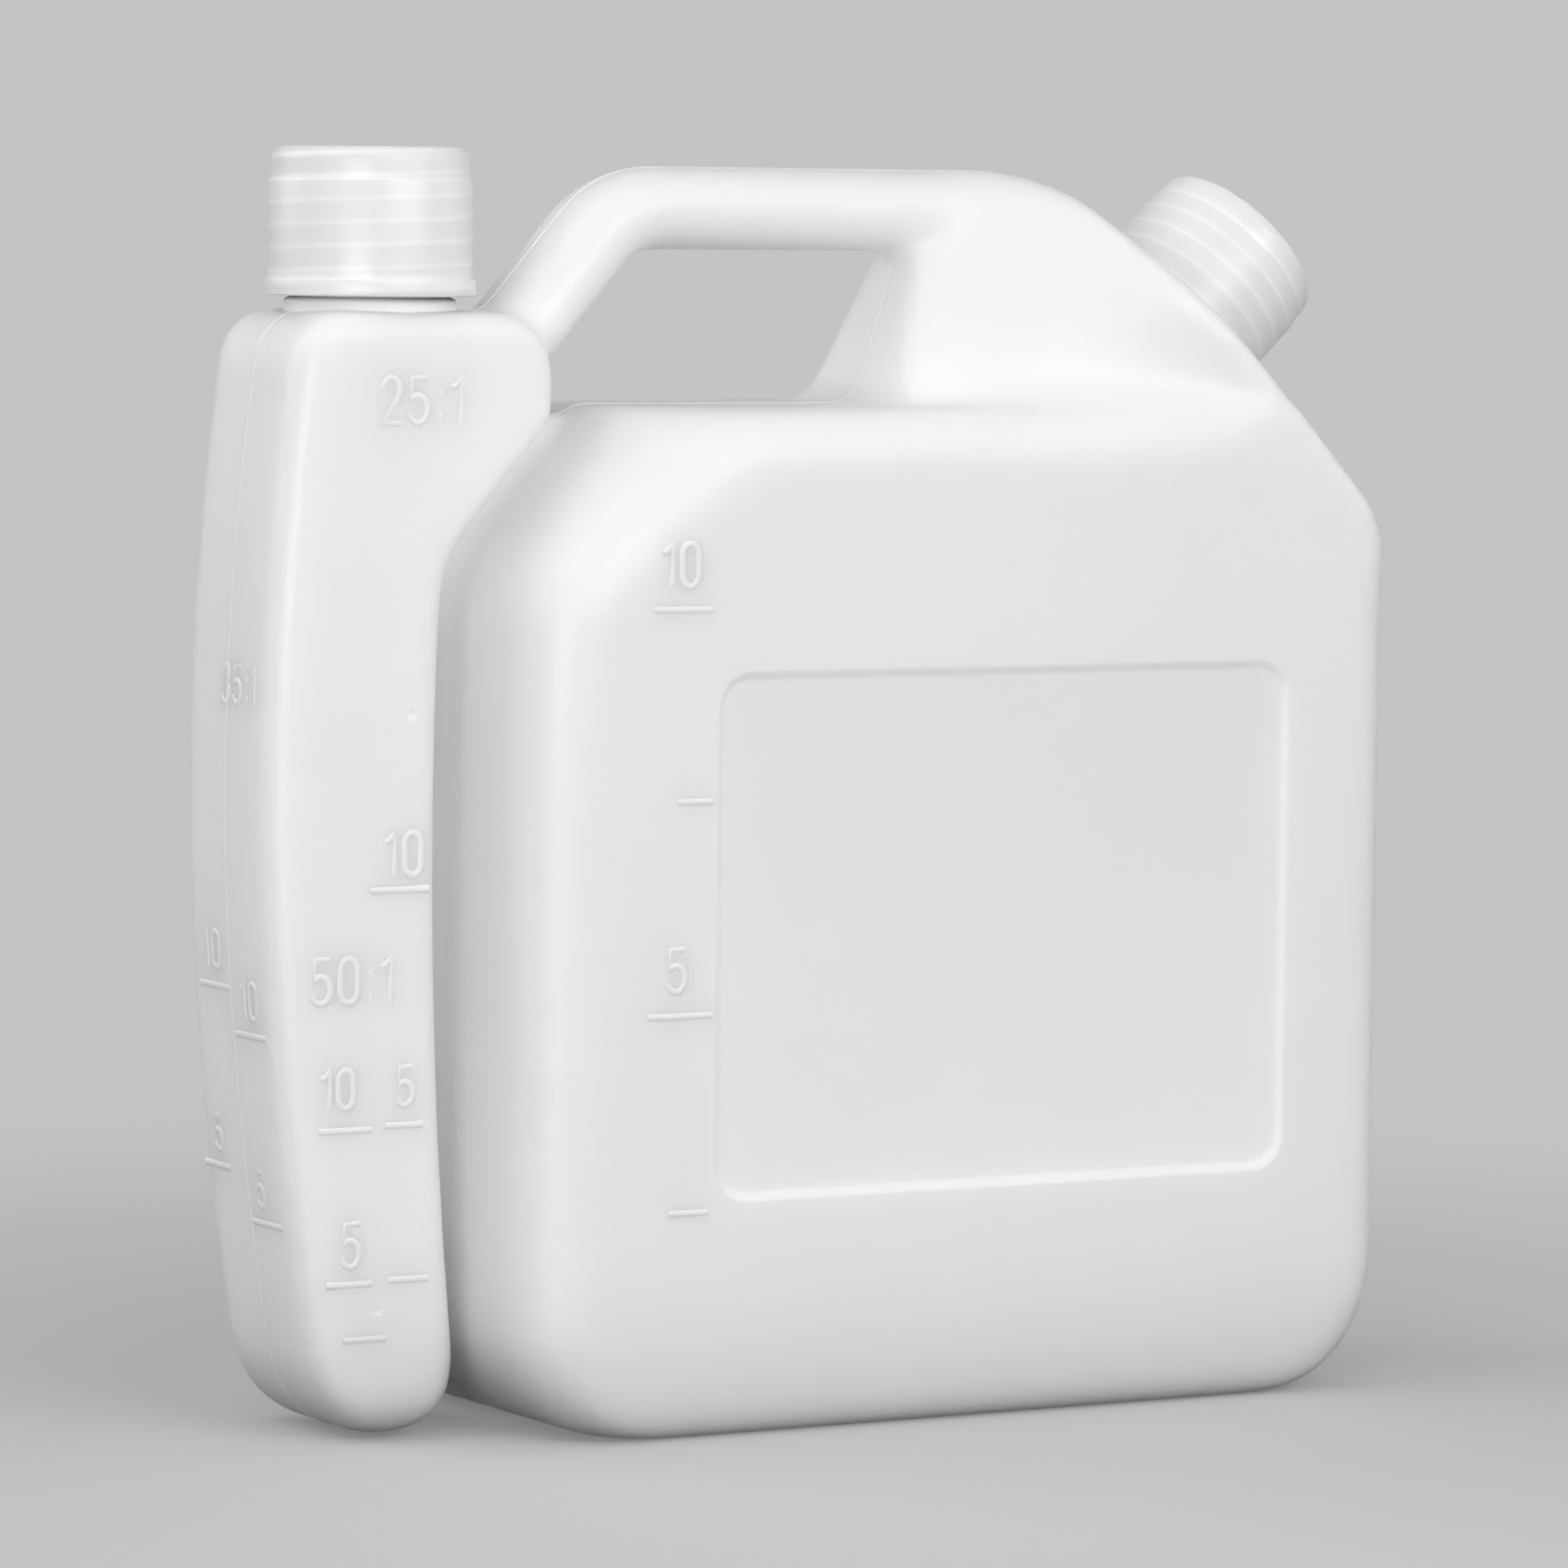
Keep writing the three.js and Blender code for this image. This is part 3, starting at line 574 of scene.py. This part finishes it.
def ridge_tree(name, material):
    """A round ridge along a mesh of edges."""
    tree = Tree(name, Radius=0.0005)
    curve = tree.node("GeometryNodeMeshToCurve", Mesh=tree.named("Geometry"))
    section = tree.node("GeometryNodeCurvePrimitiveCircle", Resolution=10, Radius=tree.named("Radius"))
    tube = tree.node("GeometryNodeCurveToMesh", Curve=curve.outputs[0], Profile_Curve=section.outputs[0], Fill_Caps=True)
    return tree.finish(tube.outputs[0], material)


def thread_tree(name, material):
    """A screw thread's ridge: one helix with a round section."""
    tree = Tree(name, Radius=0.0115, Height=0.01, Turns=3.0, Section=0.0009)
    spiral = tree.node("GeometryNodeCurveSpiral", Resolution=64, Rotations=tree.named("Turns"),
                       Start_Radius=tree.named("Radius"), End_Radius=tree.named("Radius"), Height=tree.named("Height"))
    section = tree.node("GeometryNodeCurvePrimitiveCircle", Resolution=12, Radius=tree.named("Section"))
    tube = tree.node("GeometryNodeCurveToMesh", Curve=spiral.outputs[0], Profile_Curve=section.outputs[0], Fill_Caps=True)
    return tree.finish(tube.outputs[0], material)


# The last number, 0.72, is the painted shade at the foot of the bottle and of its trim
bottle_plastic = plastic("bottle_plastic", (0.865, 0.865, 0.862, 1), (0.835, 0.835, 0.835, 1), 0.42, 0.6, 0.011, 0.72)
trim_plastic = plastic("trim_plastic", (0.865, 0.865, 0.862, 1), (0.835, 0.835, 0.835, 1), 0.42, 0.1, 0.001, 0.72)
cap_plastics = {name: cap_plastic(name + "_plastic", place) for name, place in (("oil_cap", OIL_NECK), ("petrol_cap", PETROL_NECK))}
liner_foam = plastic("liner_foam", (0.85, 0.85, 0.82, 1), (0.82, 0.82, 0.79, 1), 0.75, 0.1, 0.002)


def dress(obj, material, body_name, angle=35):
    obj.data.materials.clear()
    obj.data.materials.append(material)
    smooth_normals(obj, angle)
    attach(obj, body_name)


# Raised scales: strokes in a unit box of height 1, as a mould maker cuts them
def arc(cx, cy, rx, ry, start, end, steps=14):
    return [(cx + rx * math.cos(math.radians(a)), cy + ry * math.sin(math.radians(a))) for a in np.linspace(start, end, steps)]


STROKES = {
    "0": [arc(0.31, 0.72, 0.22, 0.28, 0, 180) + arc(0.31, 0.28, 0.22, 0.28, 180, 360) + [(0.53, 0.72)]],
    "1": [[(0.1, 0.78), (0.22, 0.86), (0.32, 1.0), (0.32, 0.0)]],
    "2": [arc(0.3, 0.73, 0.21, 0.27, 170, -30) + [(0.09, 0.0), (0.54, 0.0)]],
    "3": [arc(0.28, 0.75, 0.2, 0.25, 160, -90) + arc(0.28, 0.26, 0.24, 0.26, 88, -165)],
    "5": [[(0.5, 1.0), (0.14, 1.0), (0.1, 0.52)] + arc(0.28, 0.31, 0.24, 0.31, 125, -160)],
    ":": [[(0.2, 0.6), (0.2, 0.74)], [(0.2, 0.1), (0.2, 0.24)]],
}
ADVANCE = {"0": 0.68, "1": 0.5, "2": 0.68, "3": 0.68, "5": 0.68, ":": 0.36}
TICK = "tick"


def front_of(depth):
    """Maps (across, up, out) on a flat front at that depth to the row frame."""
    return lambda u, v, w: (u, -depth - w, v)


def oil_end(u, v, w):
    """Maps (across, up, out) on the oil chamber's bowed end to the row frame. Across runs towards the front."""
    below = max(0, OIL_WAIST - v) / OIL_WAIST
    above = max(0, v - OIL_WAIST) / (OIL_TOP - OIL_WAIST)
    return (OIL_LEFT + 9.8 * below ** 1.8 + 5.4 * above ** 2 - w, -u, v)


# Each mark: text or tick, its left end, its foot and its width or height, in millimetres
SCALES = [
    (front_of(HALF_DEPTH), [("10", -36.9, 122.9, 6.1), (TICK, -37.8, 119.6, 9.6), (TICK, -33.7, 92.1, 5.8), ("5", -35.4, 64.9, 6.1),
                            (TICK, -38.3, 61.4, 10.7), (TICK, -34.5, 33.0, 6.4)]),
    (front_of(OIL_DEPTH), [("25:1", -73.6, 145.8, 6.4), ("10", -72.6, 81.5, 6.1), (TICK, -74.4, 79.5, 9.4), ("5", -70.2, 48.6, 5.5),
                           (TICK, -71.8, 45.8, 6.1), (TICK, -71.1, 23.6, 6.4), ("50:1", -83.9, 63.6, 6.3), ("10", -82.4, 48.6, 5.4),
                           (TICK, -82.3, 45.4, 8.5), ("5", -78.9, 25.8, 6.2), (TICK, -80.9, 23.3, 7.3), (TICK, -78.2, 15.3, 6.7)]),
    (oil_end, [("35:1", -2, 105.8, 5.2), ("10", -8.6, 67.4, 5.2), (TICK, -9.9, 64.8, 9.7), (TICK, -13.5, 38.3, 8.6),
               ("5", -9.5, 40.6, 5), ("10", 2.6, 60.8, 5.2), (TICK, 0.6, 58.4, 9.9), ("5", 2.6, 33.6, 5), (TICK, 0.4, 31.2, 9.6)]),
]


def strokes_of(text, left, foot_shade_ramp, size):
    if text == TICK:
        return [[(left, foot_shade_ramp), (left + size, foot_shade_ramp)]]
    lines, pen = [], 0
    for letter in text:
        lines += [[(left + (pen + x) * size, foot_shade_ramp + y * size) for x, y in line] for line in STROKES[letter]]
        pen += ADVANCE[letter]
    return lines


def scale_marks(tree):
    """The raised marks: round ridges along the strokes, flattened and laid on the bottle's faces."""
    marks = []
    for number, (place, items) in enumerate(SCALES):
        vertices, edges = [], []
        for item in items:
            for line in strokes_of(*item):
                first = len(vertices)
                vertices += [(u, v, 0) for u, v in line]
                edges += [(first + i, first + i + 1) for i in range(len(line) - 1)]
        mesh = bpy.data.meshes.new("marks")
        mesh.from_pydata([tuple(c * MM for c in v) for v in vertices], edges, [])
        obj = bpy.data.objects.new(f"scale_marks_{number + 1}", mesh)
        bpy.context.scene.collection.objects.link(obj)
        tree.run(obj, Radius=0.56 * MM)
        for vertex in obj.data.vertices:
            u, v, w = (c / MM for c in vertex.co)
            vertex.co = Vector(place(u, v, w * 0.38 - 0.11)) * MM
        marks.append(obj)
    return marks


def thread(tree, name, place, radius, low, turns, section):
    obj = new_object(name, [(0, 0, 0)], [])
    tree.run(obj, Radius=radius * MM, Height=3.3 * turns * MM, Turns=turns, Section=section * MM)
    for vertex in obj.data.vertices:
        vertex.co = (place @ (vertex.co / MM + Vector((0, 0, low)))) * MM
    return obj


def parting_line(tree):
    """The fine flash where the mould's halves met: a ridge round the body's outline in the parting plane."""
    line = body.copy()
    line.data = body.data.copy()
    line.name = "parting_line"
    bpy.context.scene.collection.objects.link(line)
    bm = bmesh.new()
    bm.from_mesh(line.data)
    cut = bmesh.ops.bisect_plane(bm, geom=bm.verts[:] + bm.edges[:] + bm.faces[:], plane_co=(0, 0.00002, 0), plane_no=(0, 1, 0))
    kept = {e for e in cut["geom_cut"] if isinstance(e, bmesh.types.BMEdge)}
    bmesh.ops.delete(bm, geom=[f for f in bm.faces], context="FACES_ONLY")
    bmesh.ops.delete(bm, geom=[e for e in bm.edges if e not in kept], context="EDGES")
    bm.to_mesh(line.data)
    bm.free()
    return tree.run(line, Radius=0.12 * MM)


ridges = ridge_tree("ridge", trim_plastic)
threads = thread_tree("thread", trim_plastic)
trim = scale_marks(ridges) + [parting_line(ridges)]
trim += [thread(threads, "oil_neck_thread", OIL_NECK, 11.3, 7.5, 3.0, 0.9), thread(threads, "petrol_neck_thread", PETROL_NECK, 11.3, 7.5, 3.0, 0.9)]

dress(body, bottle_plastic, "bottle_body", 60)
for piece in necks + trim:
    dress(piece, trim_plastic, "bottle_body", 60)
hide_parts("bottle")
for name, body_name in (("oil_cap", "oil_cap_body"), ("petrol_cap", "petrol_cap_body")):
    dress(caps[name], cap_plastics[name], body_name)
    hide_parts(name)
for name, body_name in (("oil_cap_liner", "oil_liner_body"), ("petrol_cap_liner", "petrol_liner_body")):
    dress(liners[name], liner_foam, body_name)
    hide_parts(name)


# Floor, lights and camera
def floor():
    s = Shader("floor_paper")
    place = s.object_coordinates()
    cloud = s.value(s.node("ShaderNodeTexNoise", Vector=place, Scale=3.0, Detail=2.0))
    colour = s.mix_colour(cloud, (0.57, 0.57, 0.57, 1), (0.61, 0.61, 0.61, 1))
    paper = s.node("ShaderNodeBsdfPrincipled", Base_Color=colour, Roughness=0.8).outputs[0]
    # The paper is pale to the eye, and throws little light back up at the bottle
    sight = s.node("ShaderNodeLightPath")
    seen = s.value(sight, "Is Camera Ray") + s.value(sight, "Is Glossy Ray") + s.value(sight, "Is Transmission Ray")
    dim = s.node("ShaderNodeBsdfPrincipled", Base_Color=(0.1, 0.1, 0.1, 1), Roughness=0.8).outputs[0]
    both = s.node("ShaderNodeMixShader")
    # Far from the bottle the paper is evenly lit, so that floor and backdrop are one plain tone
    away = (s.value(s.node("ShaderNodeVectorMath", {"operation": "LENGTH"}, Vector=place), "Value") - 0.1) * 3.2
    away = away.limited()
    share = 0.3 + 0.7 * away * away * (3 - 2 * away)
    even = s.node("ShaderNodeEmission", Color=(0.55, 0.55, 0.55, 1)).outputs[0]
    far = s.node("ShaderNodeMixShader")
    for slot, socket in enumerate((share.socket, paper, even)):
        s.tree.links.new(socket, far.inputs[slot])
    for slot, socket in enumerate((seen.socket, dim, far.outputs[0])):
        s.tree.links.new(socket, both.inputs[slot])
    s.surface(both.outputs[0])
    profile = [(-3000, 0), (1600, 0)]
    profile += [(1600 + 900 * math.sin(a), 900 * (1 - math.cos(a))) for a in np.linspace(0.1, math.pi / 2, 14)] + [(2500, 4000)]
    points = [(x, y, z) for y, z in profile for x in (-4000, 4000)]
    turned_sight = Matrix.Rotation(-VIEW_AZIMUTH, 3, "Z")
    plane = new_object("floor", [tuple(turned_sight @ Vector(p)) for p in points],
                       [(2 * i, 2 * i + 1, 2 * i + 3, 2 * i + 2) for i in range(len(profile) - 1)])
    plane.data.polygons.foreach_set("use_smooth", [True] * len(plane.data.polygons))
    plane.data.materials.append(s.material)


def lamp(name, place, target, size, power):
    light = bpy.data.lights.new(name, "AREA")
    light.shape = "RECTANGLE"
    light.size, light.size_y = size
    light.energy = power
    obj = bpy.data.objects.new(name, light)
    obj.location = place
    obj.rotation_euler = (Vector(target) - Vector(place)).to_track_quat("-Z", "Y").to_euler()
    bpy.context.scene.collection.objects.link(obj)


def camera():
    sight = Vector((math.sin(VIEW_AZIMUTH) * math.cos(VIEW_ELEVATION),
                    math.cos(VIEW_AZIMUTH) * math.cos(VIEW_ELEVATION), -math.sin(VIEW_ELEVATION)))
    across = Vector((math.cos(VIEW_AZIMUTH), -math.sin(VIEW_AZIMUTH), 0))
    up = across.cross(sight)
    lean_across = across * math.cos(VIEW_LEAN) + up * math.sin(VIEW_LEAN)
    lean_up = up * math.cos(VIEW_LEAN) - across * math.sin(VIEW_LEAN)
    data = bpy.data.cameras.new("camera")
    data.lens = FOCAL_LENGTH
    data.sensor_width = 36
    data.clip_end = 20
    obj = bpy.data.objects.new("camera", data)
    turn = Matrix((lean_across, lean_up, -sight)).transposed().to_4x4()
    obj.matrix_world = Matrix.Translation((VIEW_TARGET - sight * VIEW_DISTANCE) * MM) @ turn
    bpy.context.scene.collection.objects.link(obj)
    bpy.context.scene.camera = obj


floor()
lamp("front_right", (0.15, -0.75, 0.42), (0, 0, 0.09), (0.6, 0.3), 2.35)
lamp("front_left", (-0.6, -0.6, 0.15), (0, 0, 0.09), (0.4, 0.2), 2.2)
lamp("high_left", (-0.55, -0.05, 0.8), (0, 0, 0.09), (0.4, 0.4), 0.7)
lamp("back_left", (-0.6, 0.5, 0.45), (0, 0, 0.09), (0.4, 0.4), 1.3)
lamp("right", (0.95, -0.3, 0.4), (0, 0, 0.09), (0.5, 0.4), 0.6)
world = bpy.data.worlds.new("studio")
world.use_nodes = True
world.node_tree.nodes["Background"].inputs["Color"].default_value = (1, 1, 1, 1)
world.node_tree.nodes["Background"].inputs["Strength"].default_value = 0.58
bpy.context.scene.world = world
bpy.context.scene.view_settings.view_transform = "Standard"
camera()
